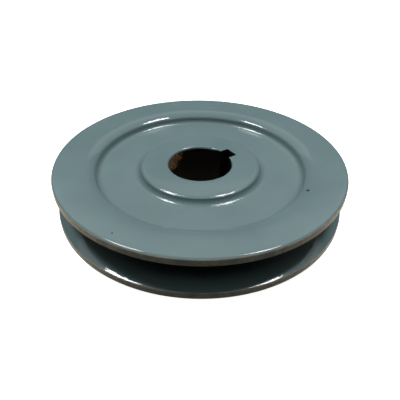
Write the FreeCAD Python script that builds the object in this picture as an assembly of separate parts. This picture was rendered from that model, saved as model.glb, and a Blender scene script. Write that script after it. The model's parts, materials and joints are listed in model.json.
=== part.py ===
import FreeCAD, Part
import math
import os

# Single-groove V-belt pulley: one iron casting with a keyed bore, and the two
# socket set screws that hold it on its shaft. Millimetres.
# Origin: on the bore's axis, in the middle plane of the belt groove.
# +Z: towards the side with the short boss. +X: out through the keyway.

INCH = 25.4

# Rim and belt groove (A section belt)
OUTSIDE_DIAMETER = 4.75 * INCH
RIM_WIDTH = 0.75 * INCH
GROOVE_OPENING = 0.494 * INCH
GROOVE_DEPTH = 0.490 * INCH
GROOVE_ANGLE = 34.0
RIM_FACE_SLOPE = 5.0
RIM_EDGE_ROUNDING = 0.9
GROOVE_MOUTH_ROUNDING = 0.45
GROOVE_ROOT_ROUNDING = 0.8

# Recesses on the two sides, depths measured from the rim's outer planes: from the
# rim face the lip rolls gently down to the brow, and a steep wall drops to the web
BOSS_SIDE_WEB_DEPTH = 5.7
WEB_THICKNESS = 6.35
LIP_RADIUS = 46.2
LIP_ROUNDING = 7.0
BROW_RADIUS = 43.9
BROW_DEPTH = 2.9
BROW_ROUNDING = 2.0
RECESS_WALL_RADIUS = 43.2
RECESS_FILLET = 2.5

# Hub, boss and bore: the boss has a softly worn edge, a steep wall below its shoulder
# and a fillet into the web, which dips a little towards the boss
BORE_DIAMETER = (1 + 1 / 16) * INCH
BORE_EDGE_ROUNDING = 0.3
BOSS_DEPTH = 3.2
BOSS_EDGE_RADIUS = 24.3
BOSS_EDGE_ROUNDING = 2.5
BOSS_SHOULDER_RADIUS = 25.3
BOSS_SHOULDER_DEPTH = 3.85
BOSS_SHOULDER_ROUNDING = 0.4
BOSS_FOOT_RADIUS = 25.85
BOSS_FOOT_DEPTH = 6.4
BOSS_FILLET = 3.0
HUB_LENGTH = 1.125 * INCH
HUB_END_RADIUS = 1.0 * INCH
HUB_DRAFT = 2.0
HUB_FILLET = 3.0
HUB_END_ROUNDING = 1.0

# Keyway for a square key
KEYWAY_WIDTH = 0.25 * INCH
KEYWAY_FLOOR = 17.1
KEY_TOP = 16.3

# Set screws, 5/16-18 thread
SCREW_DIAMETER = 5 / 16 * INCH
SCREW_LENGTH = 5 / 16 * INCH
SCREW_CLEARANCE = 0.05
SCREW_FROM_HUB_END = 6.8
SCREW_REST_GAP = 1.0
SCREW_END_CHAMFER = 0.6
CUP_DIAMETER = 4.3
CUP_ANGLE = 118.0
SOCKET_ACROSS_FLATS = 5 / 32 * INCH
SOCKET_DEPTH = 3.4
HOLE_MOUTH_CHAMFER = 0.45
SEAM_DIRECTION = 225.0

# Sizes that follow from the ones above
outside_radius = OUTSIDE_DIAMETER / 2
half_width = RIM_WIDTH / 2
bore_radius = BORE_DIAMETER / 2
groove_slope = math.tan(math.radians(GROOVE_ANGLE / 2))
groove_half_opening = GROOVE_OPENING / 2
root_radius = outside_radius - GROOVE_DEPTH
root_half_width = groove_half_opening - GROOVE_DEPTH * groove_slope
web_top = half_width - BOSS_SIDE_WEB_DEPTH
web_bottom = web_top - WEB_THICKNESS
boss_top = half_width - BOSS_DEPTH
hub_end = boss_top - HUB_LENGTH
hub_root_radius = HUB_END_RADIUS + (web_bottom - hub_end) * math.tan(math.radians(HUB_DRAFT))
lip_height = half_width - (outside_radius - LIP_RADIUS) * math.tan(math.radians(RIM_FACE_SLOPE))
brow_height = half_width - BROW_DEPTH
screw_height = hub_end + SCREW_FROM_HUB_END
screw_radius = SCREW_DIAMETER / 2
hole_radius = screw_radius + SCREW_CLEARANCE
keyway_tip = KEY_TOP + SCREW_REST_GAP
quarter_tip = bore_radius + SCREW_REST_GAP


def half_section_face(corners):
    """Face in the XZ plane from (radius, height, rounding) corners, each rounding a tangent arc."""
    points = [FreeCAD.Vector(radius, 0, height) for radius, height, rounding in corners]
    count = len(corners)
    stretches = []
    for index, corner in enumerate(points):
        rounding = corners[index][2]
        before = (points[index - 1] - corner).normalize()
        after = (points[(index + 1) % count] - corner).normalize()
        half_turn = before.getAngle(after) / 2
        reach = rounding / math.tan(half_turn)
        bisector = (before + after).normalize()
        middle = corner + bisector * (rounding / math.sin(half_turn) - rounding)
        stretches.append((corner + before * reach, middle, corner + after * reach))
    edges = []
    for index, (start, middle, end) in enumerate(stretches):
        if start.distanceToPoint(end) > 1e-6:
            edges.append(Part.Arc(start, middle, end).toShape())
        next_start = stretches[(index + 1) % count][0]
        edges.append(Part.LineSegment(end, next_start).toShape())
    return Part.Face(Part.Wire(edges))


def revolve(face):
    """Full turn of a half section about the bore's axis, with its seam clear of the keyway and holes."""
    seam_face = face.copy()
    seam_face.rotate(FreeCAD.Vector(0, 0, 0), FreeCAD.Vector(0, 0, 1), SEAM_DIRECTION)
    return seam_face.revolve(FreeCAD.Vector(0, 0, 0), FreeCAD.Vector(0, 0, 1), 360)


def make_blank():
    """The casting as turned and cast: rim, groove, recesses, web, boss and hub."""
    boss_side = [
        (bore_radius, boss_top, BORE_EDGE_ROUNDING),
        (BOSS_EDGE_RADIUS, boss_top, BOSS_EDGE_ROUNDING),
        (BOSS_SHOULDER_RADIUS, half_width - BOSS_SHOULDER_DEPTH, BOSS_SHOULDER_ROUNDING),
        (BOSS_FOOT_RADIUS, half_width - BOSS_FOOT_DEPTH, BOSS_FILLET),
        (RECESS_WALL_RADIUS, web_top, RECESS_FILLET),
        (BROW_RADIUS, brow_height, BROW_ROUNDING),
        (LIP_RADIUS, lip_height, LIP_ROUNDING),
        (outside_radius, half_width, RIM_EDGE_ROUNDING),
    ]
    groove = [
        (outside_radius, groove_half_opening, GROOVE_MOUTH_ROUNDING),
        (root_radius, root_half_width, GROOVE_ROOT_ROUNDING),
        (root_radius, -root_half_width, GROOVE_ROOT_ROUNDING),
        (outside_radius, -groove_half_opening, GROOVE_MOUTH_ROUNDING),
    ]
    hub_side = [
        (outside_radius, -half_width, RIM_EDGE_ROUNDING),
        (LIP_RADIUS, -lip_height, LIP_ROUNDING),
        (BROW_RADIUS, -brow_height, BROW_ROUNDING),
        (RECESS_WALL_RADIUS, web_bottom, RECESS_FILLET),
        (hub_root_radius, web_bottom, HUB_FILLET),
        (HUB_END_RADIUS, hub_end, HUB_END_ROUNDING),
        (bore_radius, hub_end, BORE_EDGE_ROUNDING),
    ]
    return revolve(half_section_face(boss_side + groove + hub_side))


def make_keyway():
    """Square slot broached through the bore's whole length, on +X."""
    corner = FreeCAD.Vector(0, -KEYWAY_WIDTH / 2, hub_end - 1)
    return Part.makeBox(KEYWAY_FLOOR, KEYWAY_WIDTH, HUB_LENGTH + 2, corner)


def make_screw_hole():
    """Drilled hole along +X from inside the bore out through the hub, with a broken edge at its mouth."""
    surface_radius = HUB_END_RADIUS + SCREW_FROM_HUB_END * math.tan(math.radians(HUB_DRAFT))
    flare_start = surface_radius - HOLE_MOUTH_CHAMFER
    flare = 2.0
    inner_end = bore_radius - 4
    outline = [
        (inner_end, 0),
        (inner_end, hole_radius),
        (flare_start, hole_radius),
        (flare_start + flare, hole_radius + flare),
        (flare_start + flare, 0),
        (inner_end, 0),
    ]
    corners = [FreeCAD.Vector(x, 0, screw_height + height) for x, height in outline]
    section = Part.Face(Part.makePolygon(corners))
    return section.revolve(FreeCAD.Vector(0, 0, screw_height), FreeCAD.Vector(1, 0, 0), 360)


def make_set_screw():
    """Socket set screw along +X with its cup point at x = 0."""
    outward = FreeCAD.Vector(1, 0, 0)
    origin = FreeCAD.Vector(0, 0, 0)
    cup_radius = CUP_DIAMETER / 2
    point_length = screw_radius - cup_radius - 0.25
    point = Part.makeCone(cup_radius + 0.25, screw_radius, point_length, origin, outward)
    barrel_length = SCREW_LENGTH - point_length - SCREW_END_CHAMFER
    barrel_start = FreeCAD.Vector(point_length, 0, 0)
    barrel = Part.makeCylinder(screw_radius, barrel_length, barrel_start, outward)
    end_start = FreeCAD.Vector(SCREW_LENGTH - SCREW_END_CHAMFER, 0, 0)
    end_radius = screw_radius - SCREW_END_CHAMFER
    end = Part.makeCone(screw_radius, end_radius, SCREW_END_CHAMFER, end_start, outward)
    body = point.fuse([barrel, end])
    cup_depth = cup_radius / math.tan(math.radians(CUP_ANGLE / 2))
    cup = Part.makeCone(cup_radius, 0, cup_depth, origin, outward)
    hexagon_radius = SOCKET_ACROSS_FLATS / math.sqrt(3)
    corners = []
    for index in range(7):
        angle = math.radians(60 * index + 30)
        corners.append(FreeCAD.Vector(SCREW_LENGTH - SOCKET_DEPTH,
                                      hexagon_radius * math.cos(angle),
                                      hexagon_radius * math.sin(angle)))
    socket_face = Part.Face(Part.makePolygon(corners))
    socket = socket_face.extrude(FreeCAD.Vector(SOCKET_DEPTH + 1, 0, 0))
    drill_base = FreeCAD.Vector(SCREW_LENGTH - SOCKET_DEPTH, 0, 0)
    drill_radius = SOCKET_ACROSS_FLATS / 2
    drill = Part.makeCone(drill_radius, 0, drill_radius / 2, drill_base, FreeCAD.Vector(-1, 0, 0))
    return body.cut(cup).cut(socket).cut(drill).removeSplitter()


def turn_to_quarter(shape):
    """The same shape a quarter turn round the bore, on +Y."""
    turned = shape.copy()
    turned.rotate(FreeCAD.Vector(0, 0, 0), FreeCAD.Vector(0, 0, 1), 90)
    return turned


hole = make_screw_hole()
sheave_casting = make_blank().cut([make_keyway(), hole, turn_to_quarter(hole)])

set_screw = make_set_screw()
keyway_set_screw = set_screw.copy()
keyway_set_screw.translate(FreeCAD.Vector(keyway_tip, 0, screw_height))
quarter_set_screw = set_screw.copy()
quarter_set_screw.translate(FreeCAD.Vector(quarter_tip, 0, screw_height))
quarter_set_screw = turn_to_quarter(quarter_set_screw)

os.makedirs("parts", exist_ok=True)
nodes = {
    "sheave_casting": sheave_casting,
    "keyway_set_screw": keyway_set_screw,
    "quarter_set_screw": quarter_set_screw,
}
for name, shape in nodes.items():
    solid = shape.Solids[0]
    print(name, "solids", len(shape.Solids), "valid", solid.isValid(), "volume", round(solid.Volume, 1))
    solid.exportStep("parts/" + name + ".step")
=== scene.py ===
import json
import math
import bpy
import numpy as np
from mathutils import Matrix, Vector, noise


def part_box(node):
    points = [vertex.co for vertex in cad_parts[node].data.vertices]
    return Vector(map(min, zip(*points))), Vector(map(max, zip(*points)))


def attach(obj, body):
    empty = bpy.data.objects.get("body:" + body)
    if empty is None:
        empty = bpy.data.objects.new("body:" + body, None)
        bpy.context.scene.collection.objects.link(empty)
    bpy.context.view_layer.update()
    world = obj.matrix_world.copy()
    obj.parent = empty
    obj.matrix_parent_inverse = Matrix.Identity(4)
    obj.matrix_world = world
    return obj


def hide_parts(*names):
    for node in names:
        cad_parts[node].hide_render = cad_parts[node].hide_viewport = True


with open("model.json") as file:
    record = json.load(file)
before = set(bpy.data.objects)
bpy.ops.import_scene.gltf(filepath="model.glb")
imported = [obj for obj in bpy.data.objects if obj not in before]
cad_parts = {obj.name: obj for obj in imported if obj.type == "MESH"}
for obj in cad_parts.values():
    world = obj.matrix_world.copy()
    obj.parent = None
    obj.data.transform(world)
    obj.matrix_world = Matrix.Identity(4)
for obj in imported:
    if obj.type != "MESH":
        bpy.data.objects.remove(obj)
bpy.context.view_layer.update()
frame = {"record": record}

# V-belt pulley: one iron casting under gloss enamel, replaced by a finer mesh with a
# gently uneven cast surface, and two threaded socket set screws.
# Sizes are in millimetres and are turned into metres when a mesh is made.

MM = 0.001
INCH = 25.4


def mount(name):
    """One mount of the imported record."""
    return next(m for m in frame["record"]["mounts"] if m["name"] == name)


# Rim and belt groove
OUTSIDE_RADIUS = 4.75 * INCH / 2
HALF_WIDTH = 0.75 * INCH / 2
GROOVE_HALF_OPENING = 0.494 * INCH / 2
GROOVE_DEPTH = 0.490 * INCH
GROOVE_SLOPE = math.tan(math.radians(17.0))
RIM_FACE_SLOPE = math.tan(math.radians(5.0))
RIM_EDGE_ROUNDING = 0.9
GROOVE_MOUTH_ROUNDING = 0.45
GROOVE_ROOT_ROUNDING = 0.8

# Recesses, web, boss and hub
WEB_TOP = HALF_WIDTH - 5.7
WEB_BOTTOM = WEB_TOP - 6.35
LIP_RADIUS = 46.2
LIP_ROUNDING = 7.0
BROW_RADIUS = 43.9
BROW_DEPTH = 2.9
BROW_ROUNDING = 2.0
RECESS_WALL_RADIUS = 43.2
RECESS_FILLET = 2.5
BOSS_TOP = mount("boss_face")["pos_m"][2] / MM
BOSS_EDGE_RADIUS = 24.3
BOSS_EDGE_ROUNDING = 2.5
BOSS_SHOULDER_RADIUS = 25.3
BOSS_SHOULDER_DEPTH = 3.85
BOSS_SHOULDER_ROUNDING = 0.4
BOSS_FOOT_RADIUS = 25.85
BOSS_FOOT_DEPTH = 6.4
BOSS_FILLET = 3.0
HUB_END = mount("hub_end_face")["pos_m"][2] / MM
HUB_END_RADIUS = 1.0 * INCH
HUB_SLOPE = math.tan(math.radians(2.0))
HUB_FILLET = 3.0
HUB_END_ROUNDING = 1.0

# Bore and keyway. The bore's top edge is worn rounder away from the keyway, from the
# start angle to the full angle on either side of it. The rings of the mesh follow the
# keyway near the bore and are round from the keyed zone's radius outwards.
BORE_RADIUS = mount("shaft_bore")["dims"]["r_mm"]
BORE_EDGE_ROUNDING = 0.3
WORN_EDGE_ROUNDING = 1.0
WORN_EDGE_START = math.radians(16)
WORN_EDGE_FULL = math.radians(34)
KEYWAY_HALF_WIDTH = 0.25 * INCH / 2
KEYWAY_FLOOR = mount("keyway")["pos_m"][0] / MM
KEYED_ZONE_RADIUS = 19.5

# Set screws and their holes
SCREW_HEIGHT = HUB_END + 6.8
SCREW_RADIUS = 5 / 16 * INCH / 2
SCREW_LENGTH = 5 / 16 * INCH
THREAD_PITCH = INCH / 18
THREAD_DEPTH = 0.78
HOLE_RADIUS = SCREW_RADIUS + 0.05
HOLE_THREAD_DEPTH = 0.32
HOLE_MOUTH_CHAMFER = 0.45
SCREW_END_CHAMFER = 0.6
CUP_RADIUS = 2.15
CUP_DEPTH = 1.25
CUP_LAND = 0.22
SOCKET_RADIUS = 5 / 32 * INCH / 2
SOCKET_DEPTH = 3.4
SOCKET_MOUTH_DEPTH = 0.22
SOCKET_MOUTH_WIDENING = 0.3
KEYWAY_SCREW_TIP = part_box("keyway_set_screw")[0][0] / MM
QUARTER_SCREW_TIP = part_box("quarter_set_screw")[0][1] / MM

# Mesh fineness, the slack for comparing points that coincide, and the depth of the
# casting's unevenness
TURN_STEPS = 480
SCREW_TURN_STEPS = 72
ARC_STEP = math.radians(9)
STRAIGHT_STEP = 1.6
SLACK = 1e-6
CAST_WAVINESS = 0.035


# ---------------------------------------------------------------- profile

def rounded_outline(corners):
    """Closed outline through (radius, height, rounding) corners, as points on its arcs and straights."""
    points = [Vector(corner[:2]) for corner in corners]
    stretches = []
    for index, corner in enumerate(points):
        before = (points[index - 1] - corner).normalized()
        after = (points[(index + 1) % len(points)] - corner).normalized()
        half_turn = before.angle(after) / 2
        rounding = corners[index][2]
        reach = rounding / math.tan(half_turn)
        centre = corner + (before + after).normalized() * (rounding / math.sin(half_turn))
        stretches.append((corner + before * reach, centre, corner + after * reach))
    outline = []
    for index, (start, centre, end) in enumerate(stretches):
        outline.extend(arc_points(start, centre, end))
        outline.extend(straight_points(end, stretches[(index + 1) % len(stretches)][0]))
    return outline


def arc_points(start, centre, end):
    """Points from start to end round centre."""
    first = math.atan2(*(start - centre).yx)
    turn = (math.atan2(*(end - centre).yx) - first + math.pi) % (2 * math.pi) - math.pi
    radius = (start - centre).length
    steps = max(4, round(abs(turn) / ARC_STEP))
    angles = [first + turn * step / steps for step in range(steps + 1)]
    return [centre + Vector((math.cos(a), math.sin(a))) * radius for a in angles]


def straight_points(start, end):
    """Points strictly between start and end."""
    steps = max(1, math.ceil((end - start).length / STRAIGHT_STEP))
    return [start.lerp(end, step / steps) for step in range(1, steps)]


def casting_profile():
    """Half section of the casting, starting at the bore's edge in the boss face."""
    root_radius = OUTSIDE_RADIUS - GROOVE_DEPTH
    root_half_width = GROOVE_HALF_OPENING - GROOVE_DEPTH * GROOVE_SLOPE
    lip_height = HALF_WIDTH - (OUTSIDE_RADIUS - LIP_RADIUS) * RIM_FACE_SLOPE
    brow_height = HALF_WIDTH - BROW_DEPTH
    hub_root_radius = HUB_END_RADIUS + (WEB_BOTTOM - HUB_END) * HUB_SLOPE
    return rounded_outline([
        (BORE_RADIUS, BOSS_TOP, BORE_EDGE_ROUNDING),
        (BOSS_EDGE_RADIUS, BOSS_TOP, BOSS_EDGE_ROUNDING),
        (BOSS_SHOULDER_RADIUS, HALF_WIDTH - BOSS_SHOULDER_DEPTH, BOSS_SHOULDER_ROUNDING),
        (BOSS_FOOT_RADIUS, HALF_WIDTH - BOSS_FOOT_DEPTH, BOSS_FILLET),
        (RECESS_WALL_RADIUS, WEB_TOP, RECESS_FILLET),
        (BROW_RADIUS, brow_height, BROW_ROUNDING),
        (LIP_RADIUS, lip_height, LIP_ROUNDING),
        (OUTSIDE_RADIUS, HALF_WIDTH, RIM_EDGE_ROUNDING),
        (OUTSIDE_RADIUS, GROOVE_HALF_OPENING, GROOVE_MOUTH_ROUNDING),
        (root_radius, root_half_width, GROOVE_ROOT_ROUNDING),
        (root_radius, -root_half_width, GROOVE_ROOT_ROUNDING),
        (OUTSIDE_RADIUS, -GROOVE_HALF_OPENING, GROOVE_MOUTH_ROUNDING),
        (OUTSIDE_RADIUS, -HALF_WIDTH, RIM_EDGE_ROUNDING),
        (LIP_RADIUS, -lip_height, LIP_ROUNDING),
        (BROW_RADIUS, -brow_height, BROW_ROUNDING),
        (RECESS_WALL_RADIUS, WEB_BOTTOM, RECESS_FILLET),
        (hub_root_radius, WEB_BOTTOM, HUB_FILLET),
        (HUB_END_RADIUS, HUB_END, HUB_END_ROUNDING),
        (BORE_RADIUS, HUB_END, BORE_EDGE_ROUNDING),
    ])


# ---------------------------------------------------------------- casting mesh

def keyed_outline():
    """The bore's outline with its keyway, counter-clockwise from the keyway floor's middle, in plan."""
    side_start = math.sqrt(BORE_RADIUS ** 2 - KEYWAY_HALF_WIDTH ** 2)
    floor_steps = 14
    side_steps = 9
    upper = []
    for step in range(floor_steps):
        upper.append((KEYWAY_FLOOR, KEYWAY_HALF_WIDTH * step / floor_steps))
    for step in range(side_steps + 1):
        along = (1 - math.cos(math.pi * step / side_steps)) / 2
        upper.append((KEYWAY_FLOOR + (side_start - KEYWAY_FLOOR) * along, KEYWAY_HALF_WIDTH))
    first = math.asin(KEYWAY_HALF_WIDTH / BORE_RADIUS)
    arc_steps = round((math.pi - first) / (2 * math.pi) * TURN_STEPS)
    for step in range(1, arc_steps + 1):
        angle = first + (math.pi - first) * step / arc_steps
        upper.append((BORE_RADIUS * math.cos(angle), BORE_RADIUS * math.sin(angle)))
    lower = [(x, -y) for x, y in reversed(upper[1:-1])]
    return np.array(upper + lower)


def outward_normals(outline):
    """Mitred normals of a closed outline, pointing away from the bore's axis into the iron."""
    ahead = np.roll(outline, -1, axis=0) - outline
    edge_normals = np.stack([ahead[:, 1], -ahead[:, 0]], axis=1)
    edge_normals /= np.linalg.norm(edge_normals, axis=1)[:, None]
    mean = edge_normals + np.roll(edge_normals, 1, axis=0)
    mean /= np.linalg.norm(mean, axis=1)[:, None]
    return mean / np.sum(mean * edge_normals, axis=1)[:, None]


def casting_rings(profile):
    """One ring of points for each profile point, keyed near the bore and round further out."""
    outline = keyed_outline()
    normals = outward_normals(outline)
    directions = outline / np.linalg.norm(outline, axis=1)[:, None]
    away = np.abs(np.arctan2(outline[:, 1], outline[:, 0]))
    worn = np.clip((away - WORN_EDGE_START) / (WORN_EDGE_FULL - WORN_EDGE_START), 0, 1)
    worn = worn * worn * (3 - 2 * worn)
    growth = 1 + (WORN_EDGE_ROUNDING / BORE_EDGE_ROUNDING - 1) * worn
    zone = directions * KEYED_ZONE_RADIUS
    rings = np.empty((len(profile), len(outline), 3))
    for index, (radius, height) in enumerate(profile):
        offset = radius - BORE_RADIUS
        on_bore_edge = offset <= BORE_EDGE_ROUNDING + SLACK
        grown = growth if height > 0 else np.ones_like(growth)
        edge = outline + normals * (BORE_EDGE_ROUNDING * grown)[:, None]
        if on_bore_edge:
            ring = outline + normals * (offset * grown)[:, None]
        elif radius < KEYED_ZONE_RADIUS:
            share = (offset - BORE_EDGE_ROUNDING) / (KEYED_ZONE_RADIUS - BORE_RADIUS - BORE_EDGE_ROUNDING)
            ring = edge + (zone - edge) * share
        else:
            ring = directions * radius
        rings[index, :, :2] = ring
        rings[index, :, 2] = height
        if on_bore_edge and height > BOSS_TOP - BORE_EDGE_ROUNDING - SLACK:
            rings[index, :, 2] = BOSS_TOP - (BOSS_TOP - height) * grown
    return rings


def profile_normals(profile):
    """Outward normals of the half section, as (radial, axial) pairs."""
    points = np.array([tuple(point) for point in profile])
    along = np.roll(points, -1, axis=0) - np.roll(points, 1, axis=0)
    normals = np.stack([-along[:, 1], along[:, 0]], axis=1)
    return normals / np.linalg.norm(normals, axis=1)[:, None]


def as_cast_share(radius, height):
    """How rough-cast a point is: 0 on the bore, its ends and the turned rim, 1 on the web and recesses."""
    turned_edge = 1.5
    fade = 3.0
    hub_end_fade = 2.0
    from_bore = (radius - KEYED_ZONE_RADIUS) / fade
    from_rim = (OUTSIDE_RADIUS - turned_edge - radius) / fade
    from_hub_end = (height - HUB_END - turned_edge) / hub_end_fade
    in_groove = abs(height) < GROOVE_HALF_OPENING and radius > OUTSIDE_RADIUS - GROOVE_DEPTH - 1
    share = min(from_bore, from_rim, from_hub_end, 1)
    return 0.0 if in_groove else max(share, 0.0)


def waviness(point):
    """Gentle unevenness of a sand casting under its paint, about -1 to 1."""
    broad_size = 11.0
    medium_size = 4.2
    medium_offset = Vector((7.1, 3.3, 1.9))
    broad = noise.noise(point / broad_size)
    medium = noise.noise(point / medium_size + medium_offset)
    return 0.65 * broad + 0.35 * medium


def roughened(rings, profile):
    """The rings with the cast surface's waviness pushed in along the normals."""
    normals = profile_normals(profile)
    for index, (radius, height) in enumerate(profile):
        share = as_cast_share(radius, height)
        if share == 0:
            continue
        for step in range(rings.shape[1]):
            x, y, z = rings[index, step]
            push = CAST_WAVINESS * share * waviness(Vector((x, y, z)))
            reach = math.hypot(x, y)
            rings[index, step, 0] += normals[index, 0] * push * x / reach
            rings[index, step, 1] += normals[index, 0] * push * y / reach
            rings[index, step, 2] += normals[index, 1] * push
    return rings


def grid_faces(rows, columns, closed_rows):
    """Quads between neighbouring rings, wrapping round each ring and, if asked, from last ring to first."""
    faces = []
    for row in range(rows if closed_rows else rows - 1):
        below = row * columns
        above = (row + 1) % rows * columns
        for column in range(columns):
            after = (column + 1) % columns
            faces.append((below + column, above + column, above + after, below + after))
    return faces


def add_object(name, data):
    """A new object in the scene that holds the data."""
    made = bpy.data.objects.new(name, data)
    bpy.context.scene.collection.objects.link(made)
    return made


def make_object(name, vertices, faces, materials):
    """A mesh object in metres from millimetre points."""
    mesh = bpy.data.meshes.new(name)
    mesh.from_pydata([tuple(c * MM for c in vertex) for vertex in vertices], [], faces)
    for material in materials:
        mesh.materials.append(material)
    mesh.update()
    return add_object(name, mesh)


def shade(mesh, sharp_angle):
    """Smooth shading that keeps edges sharper than the angle crisp."""
    mesh.polygons.foreach_set("use_smooth", [True] * len(mesh.polygons))
    mesh.set_sharp_from_angle(angle=math.radians(sharp_angle))


def thread_wave(angle, along):
    """Height of a right-hand thread between root 0 and crest 1, each with a narrow flat."""
    flat = 0.12
    turn = (along / THREAD_PITCH - angle / (2 * math.pi)) % 1.0
    ramp = 1 - abs(2 * turn - 1)
    return min(max((ramp - flat) / (1 - 2 * flat), 0), 1)


def make_hole_cutter(name, turn, materials):
    """Threaded cutter for one screw hole, along the turned X axis, flaring at the hub's surface."""
    steps = 56
    stations_per_pitch = 7
    flare_length = 2.0
    cap_height = 0.5
    surface_radius = HUB_END_RADIUS + (SCREW_HEIGHT - HUB_END) * HUB_SLOPE
    flare_start = surface_radius - HOLE_MOUTH_CHAMFER
    start = BORE_RADIUS - 4
    stations = list(np.arange(start, flare_start, THREAD_PITCH / stations_per_pitch))
    stations += [flare_start, flare_start + flare_length]
    vertices = [(start - cap_height, 0, 0)]
    for station in stations:
        flare = max(station - flare_start, 0)
        for step in range(steps):
            angle = 2 * math.pi * step / steps
            groove = HOLE_THREAD_DEPTH * thread_wave(angle, station)
            radius = HOLE_RADIUS + max(groove, flare)
            vertices.append((station, radius * math.cos(angle), radius * math.sin(angle)))
    vertices.append((flare_start + flare_length + cap_height, 0, 0))
    faces = []
    for face in grid_faces(len(stations), steps, False):
        faces.append(tuple(1 + index for index in reversed(face)))
    last = len(vertices) - 1
    base = last - steps
    for step in range(steps):
        after = (step + 1) % steps
        faces.append((0, 1 + after, 1 + step))
        faces.append((last, base + step, base + after))
    turned = Matrix.Rotation(turn, 3, "Z")
    placed = [turned @ Vector(vertex) + Vector((0, 0, SCREW_HEIGHT)) for vertex in vertices]
    cutter = make_object(name, placed, faces, materials)
    cutter.data.polygons.foreach_set("material_index", [1] * len(cutter.data.polygons))
    return cutter


def cut_holes(piece, cutters):
    """Cuts the screw holes through the hub and applies the cuts."""
    for cutter in cutters:
        cut = piece.modifiers.new(cutter.name, "BOOLEAN")
        cut.operation = "DIFFERENCE"
        cut.solver = "EXACT"
        cut.object = cutter
    bpy.context.view_layer.update()
    evaluated = piece.evaluated_get(bpy.context.evaluated_depsgraph_get())
    finished = bpy.data.meshes.new_from_object(evaluated)
    piece.modifiers.clear()
    piece.data = finished
    for cutter in cutters:
        bpy.data.objects.remove(cutter, do_unlink=True)


def make_casting(enamel, bare_iron):
    """The whole casting, with enamel outside and bare machined iron in the bore, keyway and holes."""
    profile = casting_profile()
    rings = roughened(casting_rings(profile), profile)
    rows, columns = rings.shape[:2]
    materials = [enamel, bare_iron]
    piece = make_object("pulley_casting", rings.reshape(-1, 3), grid_faces(rows, columns, True), materials)
    in_bore = [point[0] < BORE_RADIUS + 1e-4 for point in profile]
    zones = []
    for row in range(rows):
        bare = in_bore[row] and in_bore[(row + 1) % rows]
        zones.extend([1 if bare else 0] * columns)
    piece.data.polygons.foreach_set("material_index", zones)
    cutters = [
        make_hole_cutter("keyway_hole_cutter", 0, materials),
        make_hole_cutter("quarter_hole_cutter", math.pi / 2, materials),
    ]
    cut_holes(piece, cutters)
    shade(piece.data, 38)
    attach(piece, "sheave")
    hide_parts("sheave_casting")


# ---------------------------------------------------------------- set screws

def hexagon_radius(angle, grow=0.0):
    """Distance from the axis to the socket's wall at an angle."""
    sector = (angle + math.pi / 6) % (math.pi / 3) - math.pi / 6
    return (SOCKET_RADIUS + grow) / math.cos(sector)


def screw_rings(angles, tip):
    """Rings of the screw's surface along X, from the cup, over the thread and into the socket."""
    stations_per_pitch = 10
    first_gap = 0.1
    last_gap = 0.15
    rings = []

    def add_ring(along, radii):
        rings.append([(along, r * math.cos(a), r * math.sin(a)) for a, r in zip(angles, radii)])

    def add_circle(along, radius):
        add_ring(along, [radius] * len(angles))

    for share in (0.25, 0.6, 1.0):
        add_circle(CUP_DEPTH * (1 - share), CUP_RADIUS * share)
    add_circle(0.0, CUP_RADIUS + CUP_LAND)
    count = round((SCREW_LENGTH - last_gap) / THREAD_PITCH * stations_per_pitch)
    for index in range(1, count + 1):
        along = first_gap + (SCREW_LENGTH - first_gap - last_gap) * index / (count + 1)
        start_cone = CUP_RADIUS + CUP_LAND + along
        end_cone = SCREW_RADIUS - SCREW_END_CHAMFER + (SCREW_LENGTH - along)
        limit = min(SCREW_RADIUS, start_cone, end_cone)
        radii = []
        for angle in angles:
            thread = SCREW_RADIUS - THREAD_DEPTH * (1 - thread_wave(angle, along + tip))
            radii.append(min(thread, limit))
        add_ring(along, radii)
    add_circle(SCREW_LENGTH, SCREW_RADIUS - SCREW_END_CHAMFER - 0.1)
    add_ring(SCREW_LENGTH, [hexagon_radius(a, SOCKET_MOUTH_WIDENING) for a in angles])
    for share in (0, 0.35, 0.7, 1.0):
        depth = SOCKET_MOUTH_DEPTH + (SOCKET_DEPTH - SOCKET_MOUTH_DEPTH) * share
        add_ring(SCREW_LENGTH - depth, [hexagon_radius(a) for a in angles])
    add_circle(SCREW_LENGTH - SOCKET_DEPTH - 0.05, SOCKET_RADIUS * 0.92)
    add_circle(SCREW_LENGTH - SOCKET_DEPTH - 0.5, SOCKET_RADIUS * 0.45)
    return rings


def make_set_screw(name, body, node, tip, turn, steel):
    """Socket set screw along the turned X axis: cup point at its tip, rolled thread, hexagon socket."""
    steps = SCREW_TURN_STEPS
    angles = [2 * math.pi * step / steps for step in range(steps)]
    rings = screw_rings(angles, tip)
    vertices = [point for ring in rings for point in ring]
    faces = grid_faces(len(rings), steps, False)
    cup_centre = len(vertices)
    vertices.append((CUP_DEPTH, 0, 0))
    socket_centre = len(vertices)
    vertices.append((SCREW_LENGTH - SOCKET_DEPTH - 0.9, 0, 0))
    base = (len(rings) - 1) * steps
    for step in range(steps):
        after = (step + 1) % steps
        faces.append((cup_centre, step, after))
        faces.append((socket_centre, base + after, base + step))
    turned = Matrix.Rotation(turn, 3, "Z")
    lift = Vector((0, 0, SCREW_HEIGHT))
    placed = [turned @ Vector((tip + x, y, z)) + lift for x, y, z in vertices]
    piece = make_object(name, placed, faces, [steel])
    shade(piece.data, 32)
    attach(piece, body)
    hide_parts(node)


# ---------------------------------------------------------------- materials

# Enamel colours; the lighter edge colour is thin paint on the turned rim edge and partly painted reflected
# light
ENAMEL = (0.091, 0.139, 0.146)
ENAMEL_LIGHT = (0.101, 0.153, 0.160)
THIN_ENAMEL_AND_REFLECTION = (0.35, 0.37, 0.32)
CHIP_DARK = (0.018, 0.024, 0.020)

# Chips in the rim face's paint: radius, azimuth in degrees, and size
CHIPS = ((46.6, -62.7, 0.95), (56.3, -154.0, 0.45))
CHIP_DEPTH = 0.05

# Grain of the cast surface and orange peel of the paint: size of the features and depth
SAND_SIZE = 0.9
SAND_DEPTH = 0.085
PEEL_SIZE = 1.8
PEEL_DEPTH = 0.010
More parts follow.
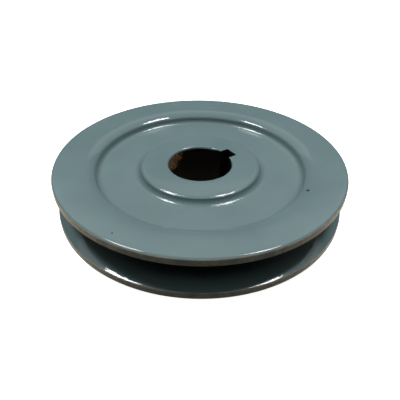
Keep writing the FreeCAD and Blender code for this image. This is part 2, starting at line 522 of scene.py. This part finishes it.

# Bored iron, and the patch of rust on its wall, kept to one side where it is partly painted light
# falling on that side of the bore: azimuth in degrees, depth of its middle below the boss face,
# and the distances from there over which it thins out
IRON_DARK = (0.010, 0.009, 0.008)
IRON_LIGHT = (0.024, 0.022, 0.018)
RUST_DARK = (0.014, 0.007, 0.003)
RUST_BRIGHT_AND_LIT = (0.32, 0.15, 0.055)
RUST_AND_LIGHT_AZIMUTH = 118
RUST_AND_LIGHT_DEPTH = 2.5
RUST_AND_LIGHT_CORE = 3.0
RUST_AND_LIGHT_REACH = 8.5

# Black oxide
OXIDE_DARK = (0.022, 0.021, 0.021)
OXIDE_LIGHT = (0.06, 0.056, 0.052)


def add_node(tree, kind, values=None, **settings):
    """A shader node with its settings and its input values."""
    made = tree.nodes.new(kind)
    for key, value in settings.items():
        setattr(made, key, value)
    for key, value in (values or {}).items():
        made.inputs[key].default_value = value
    return made


def new_material(name):
    """A new node material: its tree, its surface shader and its object coordinates."""
    material = bpy.data.materials.new(name)
    material.use_nodes = True
    tree = material.node_tree
    shader = tree.nodes["Principled BSDF"]
    place = add_node(tree, "ShaderNodeTexCoord").outputs["Object"]
    return material, tree, shader, place


def noise_at(tree, place, size, detail=3.0, roughness=0.5):
    """Noise with features of about the given size in millimetres, 0 to 1."""
    values = {"Scale": 1 / (size * MM), "Detail": detail, "Roughness": roughness}
    made = add_node(tree, "ShaderNodeTexNoise", values)
    tree.links.new(place, made.inputs["Vector"])
    return made.outputs["Fac"]


def remap(tree, value, low, high, to_low=0.0, to_high=1.0):
    """Straight-line remap of a value, clamped."""
    values = {"From Min": low, "From Max": high, "To Min": to_low, "To Max": to_high}
    made = add_node(tree, "ShaderNodeMapRange", values)
    tree.links.new(value, made.inputs["Value"])
    return made.outputs["Result"]


def remap_distance(tree, distance, start, end):
    """0 at the start distance and 1 at the end distance, both in millimetres."""
    return remap(tree, distance, start * MM, end * MM)


def calculate(tree, operation, first, second):
    """One maths step on two values, each a socket or a number."""
    made = add_node(tree, "ShaderNodeMath", operation=operation)
    for index, value in enumerate((first, second)):
        if isinstance(value, (int, float)):
            made.inputs[index].default_value = value
        else:
            tree.links.new(value, made.inputs[index])
    return made.outputs[0]


def mix_colour(tree, share, first, second):
    """Blend of two colours, each a socket or an (r, g, b) triple."""
    made = add_node(tree, "ShaderNodeMix", data_type="RGBA")
    tree.links.new(share, made.inputs["Factor"])
    for key, value in ((6, first), (7, second)):
        if isinstance(value, tuple):
            made.inputs[key].default_value = (*value, 1)
        else:
            tree.links.new(value, made.inputs[key])
    return made.outputs[2]


def distance_from_axis(tree, place):
    """Distance from the bore's axis, in metres."""
    split = add_node(tree, "ShaderNodeSeparateXYZ")
    tree.links.new(place, split.inputs[0])
    across = calculate(tree, "POWER", split.outputs["X"], 2.0)
    along = calculate(tree, "POWER", split.outputs["Y"], 2.0)
    total = calculate(tree, "ADD", across, along)
    return calculate(tree, "SQRT", total, 0.0)


def distance_from_point(tree, place, radius, azimuth, height):
    """Distance in metres from a point given by radius, azimuth in degrees and height."""
    turn = math.radians(azimuth)
    centre = Vector((radius * math.cos(turn), radius * math.sin(turn), height)) * MM
    away = add_node(tree, "ShaderNodeVectorMath", {1: tuple(centre)}, operation="DISTANCE")
    tree.links.new(place, away.inputs[0])
    return away.outputs["Value"]


def add_bump(tree, shader, layers):
    """Chained bumps from (height socket, depth in millimetres) layers."""
    previous = None
    for height, depth in layers:
        bump = add_node(tree, "ShaderNodeBump", {"Strength": 1.0, "Distance": depth * MM})
        tree.links.new(height, bump.inputs["Height"])
        if previous is not None:
            tree.links.new(previous, bump.inputs["Normal"])
        previous = bump.outputs["Normal"]
    tree.links.new(previous, shader.inputs["Normal"])


def chip_at(tree, place, radius, azimuth, size):
    """Small ragged chip in the rim face's paint, 1 inside and 0 outside."""
    height = HALF_WIDTH - (OUTSIDE_RADIUS - radius) * RIM_FACE_SLOPE
    away = distance_from_point(tree, place, radius, azimuth, height)
    ragged = remap(tree, noise_at(tree, place, 0.5, 3.0, 0.6), 0.3, 0.7, 0.4, 1.0)
    edge = calculate(tree, "MULTIPLY", ragged, size * MM)
    return remap_distance(tree, calculate(tree, "SUBTRACT", away, edge), 0.1, -0.1)


def enamel_material():
    """Gloss grey-blue enamel sprayed on cast iron, thinly painted on the turned rim edge, where a lighter
    colour is partly painted reflected light, with two chips.
    """
    material, tree, shader, place = new_material("grey_blue_enamel")
    radius = distance_from_axis(tree, place)

    mottled = remap(tree, noise_at(tree, place, 26, 2.0), 0.35, 0.65)
    full_coat = mix_colour(tree, mottled, ENAMEL, ENAMEL_LIGHT)
    # Lighter band on the rim edge: thin paint on the turned edge, and partly painted reflected light
    at_edge = remap_distance(tree, radius, OUTSIDE_RADIUS - 0.35, OUTSIDE_RADIUS - 0.08)
    patchy = remap(tree, noise_at(tree, place, 5, 4.0, 0.6), 0.36, 0.62, 0.55, 0.95)
    thin_and_reflection = calculate(tree, "MULTIPLY", at_edge, patchy)
    coat_and_edge_reflection = mix_colour(tree, thin_and_reflection, full_coat, THIN_ENAMEL_AND_REFLECTION)
    chips = calculate(tree, "MAXIMUM", *[chip_at(tree, place, *chip) for chip in CHIPS])
    tree.links.new(mix_colour(tree, chips, coat_and_edge_reflection, CHIP_DARK), shader.inputs["Base Color"])

    past_boss = remap_distance(tree, radius, BOSS_EDGE_RADIUS - 1.5, BOSS_EDGE_RADIUS)
    before_rim = remap_distance(tree, radius, BROW_RADIUS + 0.2, BROW_RADIUS - 0.5)
    as_cast = calculate(tree, "MULTIPLY", past_boss, before_rim)
    gloss = remap(tree, noise_at(tree, place, 9, 3.0), 0.3, 0.7, 0.045, 0.09)
    dull_edge = calculate(tree, "MULTIPLY", thin_and_reflection, 0.25)
    dull_cast = calculate(tree, "MULTIPLY", as_cast, 0.08)
    dulled = calculate(tree, "ADD", dull_edge, dull_cast)
    tree.links.new(calculate(tree, "ADD", gloss, dulled), shader.inputs["Roughness"])

    beside_boss = remap_distance(tree, radius, BOSS_FOOT_RADIUS + 7.5, BOSS_FOOT_RADIUS + 4.5)
    sandy = calculate(tree, "ADD", calculate(tree, "MULTIPLY", beside_boss, past_boss), as_cast)
    sand = noise_at(tree, place, SAND_SIZE, 2.0, 0.6)
    grain = calculate(tree, "MULTIPLY", sand, remap(tree, sandy, 0, 2, 0.15, 1.0))
    peel = noise_at(tree, place, PEEL_SIZE, 2.0)
    unchipped = calculate(tree, "SUBTRACT", 1.0, chips)
    add_bump(tree, shader, [(grain, SAND_DEPTH), (peel, PEEL_DEPTH), (unchipped, CHIP_DEPTH)])
    return material


def bare_iron_material():
    """Bored iron, very dark, with a rusty patch on one side of the bore's mouth that is partly painted
    light falling on that side.
    """
    material, tree, shader, place = new_material("bored_iron")
    stretched = add_node(tree, "ShaderNodeMapping", {"Scale": (60, 60, 4500)})
    turned = add_node(tree, "ShaderNodeTexNoise", {"Scale": 1.0, "Detail": 2.0})
    tree.links.new(place, stretched.inputs["Vector"])
    tree.links.new(stretched.outputs["Vector"], turned.inputs["Vector"])
    tool_marks = turned.outputs["Fac"]
    iron = mix_colour(tree, remap(tree, tool_marks, 0.3, 0.7), IRON_DARK, IRON_LIGHT)

    spots = noise_at(tree, place, 3.0, 5.0, 0.65)
    flecks = remap(tree, noise_at(tree, place, 0.9, 4.0, 0.7), 0.42, 0.62)
    rust_and_light_colour = mix_colour(tree, flecks, RUST_DARK, RUST_BRIGHT_AND_LIT)
    # The rust patch is kept round one point on one side of the bore: partly real rust, partly painted light
    # falling on that side of the wall
    away = distance_from_point(tree, place, BORE_RADIUS, RUST_AND_LIGHT_AZIMUTH, BOSS_TOP - RUST_AND_LIGHT_DEPTH)
    near = remap_distance(tree, away, RUST_AND_LIGHT_REACH, RUST_AND_LIGHT_CORE)
    spread = calculate(tree, "ADD", calculate(tree, "MULTIPLY", near, 0.5), spots)
    rust_and_light = remap(tree, spread, 0.72, 0.84)
    tree.links.new(mix_colour(tree, rust_and_light, iron, rust_and_light_colour), shader.inputs["Base Color"])
    tree.links.new(remap(tree, rust_and_light, 0, 1, 0.38, 0.9), shader.inputs["Roughness"])
    tree.links.new(remap(tree, rust_and_light, 0, 1, 0.7, 0.0), shader.inputs["Metallic"])
    add_bump(tree, shader, [(tool_marks, 0.006), (spots, 0.02)])
    return material


def black_oxide_material():
    """Black oxide on alloy steel, blotchy and finely grained."""
    material, tree, shader, place = new_material("black_oxide")
    shader.inputs["Metallic"].default_value = 0.85
    blotches = noise_at(tree, place, 2.0, 4.0, 0.6)
    colour = mix_colour(tree, remap(tree, blotches, 0.35, 0.7), OXIDE_DARK, OXIDE_LIGHT)
    tree.links.new(colour, shader.inputs["Base Color"])
    tree.links.new(remap(tree, blotches, 0.3, 0.7, 0.32, 0.5), shader.inputs["Roughness"])
    add_bump(tree, shader, [(noise_at(tree, place, 0.35, 3.0), 0.004)])
    return material


# ---------------------------------------------------------------- studio

# Camera: seen from the middle of the rim's top plane, and turned down, across and
# rolled from looking straight at it
CAMERA_AZIMUTH = math.radians(-124.0)
CAMERA_DISTANCE = 165.13
CAMERA_ELEVATION = math.radians(30.455)
CAMERA_AIM_DOWN = math.radians(6.472)
CAMERA_AIM_ACROSS = math.radians(0.058)
CAMERA_ROLL = math.radians(0.661)
CAMERA_LENS = 34.98
CAMERA_SENSOR = 36

# Soft box lying flat overhead: height above the rim, and its reach behind and in front
BOX_HEIGHT = 480.0
BOX_BEHIND = 700.0
BOX_IN_FRONT = 370.0
BOX_WIDTH = 1000.0
BOX_WATTS = 2.1

# Round lamps, in metres: distance from the pulley and diameter
LAMP_DISTANCE = 1.2
LAMP_SIZE = 0.31
LAMP_WATTS = 9.0

# What the pulley reflects
BACK_WALL = (0.14, 0.14, 0.14)
BACK_TABLE = (0.80, 0.62, 0.45)
FRONT_DARK = (0.004, 0.004, 0.004)
FRONT_TABLE = (0.16, 0.14, 0.11)
WHITE = (1.0, 1.0, 1.0)

# Floor
FLOOR_HALF_SIZE = 1500
FLOOR_TONES = ((0.80, 0.80, 0.80), (0.83, 0.83, 0.83))
FLOOR_GLOW = 0.96


def make_camera():
    """Camera close above the rim, aimed a little below the pulley's middle."""
    data = bpy.data.cameras.new("camera")
    data.sensor_width = CAMERA_SENSOR
    data.lens = CAMERA_LENS
    data.clip_start = 0.01
    camera = add_object("camera", data)
    flat = Vector((math.cos(CAMERA_AZIMUTH), math.sin(CAMERA_AZIMUTH), 0))
    place = flat * math.cos(CAMERA_ELEVATION) + Vector((0, 0, math.sin(CAMERA_ELEVATION)))
    location = place * CAMERA_DISTANCE + Vector((0, 0, HALF_WIDTH))
    pitch = CAMERA_ELEVATION + CAMERA_AIM_DOWN
    heading = CAMERA_AZIMUTH + math.pi - CAMERA_AIM_ACROSS
    level = Vector((math.cos(heading), math.sin(heading), 0))
    forward = level * math.cos(pitch) - Vector((0, 0, math.sin(pitch)))
    right = forward.cross(Vector((0, 0, 1))).normalized()
    up = right.cross(forward)
    axes = Matrix((right, up, -forward)).transposed().to_4x4()
    camera.matrix_world = Matrix.Translation(location * MM) @ axes @ Matrix.Rotation(CAMERA_ROLL, 4, "Z")
    bpy.context.scene.camera = camera


def make_area_light(name, shape, width, watts):
    """Area light of the given shape and width in metres, still to be placed."""
    data = bpy.data.lights.new(name, "AREA")
    data.shape = shape
    data.size = width
    data.energy = watts
    return add_object(name, data)


def make_lamp(name, azimuth, elevation):
    """Round soft lamp aimed at the pulley; azimuth is counted in degrees from the camera's right."""
    lamp = make_area_light(name, "DISK", LAMP_SIZE, LAMP_WATTS)
    turn = CAMERA_AZIMUTH + math.pi / 2 + math.radians(azimuth)
    tilt = math.radians(elevation)
    level = Vector((math.cos(turn), math.sin(turn), 0))
    direction = level * math.cos(tilt) + Vector((0, 0, math.sin(tilt)))
    lamp.location = direction * LAMP_DISTANCE
    lamp.rotation_euler = (-direction).to_track_quat("-Z", "Y").to_euler()


def make_soft_box():
    """Long soft box lying flat overhead, from in front of the pulley to well behind it."""
    box = make_area_light("overhead_soft_box", "RECTANGLE", BOX_WIDTH * MM, BOX_WATTS)
    box.data.size_y = (BOX_BEHIND + BOX_IN_FRONT) * MM
    middle = (BOX_BEHIND - BOX_IN_FRONT) / 2
    away = CAMERA_AZIMUTH + math.pi
    place = Vector((middle * math.cos(away), middle * math.sin(away), HALF_WIDTH + BOX_HEIGHT))
    box.location = place * MM
    box.rotation_euler = (0, 0, away - math.pi / 2)


def make_world():
    """Surroundings: white backdrop, and for reflections a dim wall and warm table behind, dark in front."""
    world = bpy.data.worlds.new("studio")
    world.use_nodes = True
    bpy.context.scene.world = world
    tree = world.node_tree
    direction = add_node(tree, "ShaderNodeTexCoord").outputs["Generated"]
    split = add_node(tree, "ShaderNodeSeparateXYZ")
    tree.links.new(direction, split.inputs[0])
    up = split.outputs["Z"]
    to_front = (math.cos(CAMERA_AZIMUTH), math.sin(CAMERA_AZIMUTH), 0)
    front = add_node(tree, "ShaderNodeVectorMath", {1: to_front}, operation="DOT_PRODUCT")
    tree.links.new(direction, front.inputs[0])
    behind = remap(tree, front.outputs["Value"], 0.25, -0.35)
    wall = mix_colour(tree, behind, FRONT_DARK, BACK_WALL)
    front_table = mix_colour(tree, remap(tree, up, -0.2, -0.5), FRONT_DARK, FRONT_TABLE)
    table = mix_colour(tree, behind, front_table, BACK_TABLE)
    surroundings = mix_colour(tree, remap(tree, up, -0.02, 0.06), table, wall)
    seen = add_node(tree, "ShaderNodeLightPath").outputs["Is Camera Ray"]
    colour = mix_colour(tree, seen, surroundings, WHITE)
    tree.links.new(colour, tree.nodes["Background"].inputs["Color"])


def floor_material():
    """Matt pale floor, glowing so that only a faint shadow shows, and clear from below."""
    material, tree, shader, place = new_material("pale_floor")
    shader.inputs["Roughness"].default_value = 0.9
    shader.inputs["Emission Color"].default_value = (*WHITE, 1)
    shader.inputs["Emission Strength"].default_value = FLOOR_GLOW
    tone = mix_colour(tree, noise_at(tree, place, 60, 2.0), *FLOOR_TONES)
    tree.links.new(tone, shader.inputs["Base Color"])
    from_below = add_node(tree, "ShaderNodeNewGeometry").outputs["Backfacing"]
    clear = add_node(tree, "ShaderNodeBsdfTransparent")
    either = add_node(tree, "ShaderNodeMixShader")
    tree.links.new(from_below, either.inputs[0])
    tree.links.new(shader.outputs[0], either.inputs[1])
    tree.links.new(clear.outputs[0], either.inputs[2])
    tree.links.new(either.outputs[0], tree.nodes["Material Output"].inputs["Surface"])
    return material


def make_floor():
    """Pale floor under the hub's end, left out of the pulley's light and reflections."""
    size = FLOOR_HALF_SIZE
    corners = [(x, y, HUB_END) for x, y in ((-size, -size), (size, -size), (size, size), (-size, size))]
    floor = make_object("floor", corners, [(0, 1, 2, 3)], [floor_material()])
    floor.visible_diffuse = False
    floor.visible_glossy = False


make_casting(enamel_material(), bare_iron_material())
black_oxide = black_oxide_material()
make_set_screw("keyway_socket_screw", "keyway_screw", "keyway_set_screw",
               KEYWAY_SCREW_TIP, 0, black_oxide)
make_set_screw("quarter_socket_screw", "quarter_screw", "quarter_set_screw",
               QUARTER_SCREW_TIP, math.pi / 2, black_oxide)
make_camera()
make_world()
make_soft_box()
make_lamp("soft_light_left", 167, 63)
make_lamp("soft_light_right", 16, 68)
make_floor()
bpy.context.scene.view_settings.view_transform = "Standard"
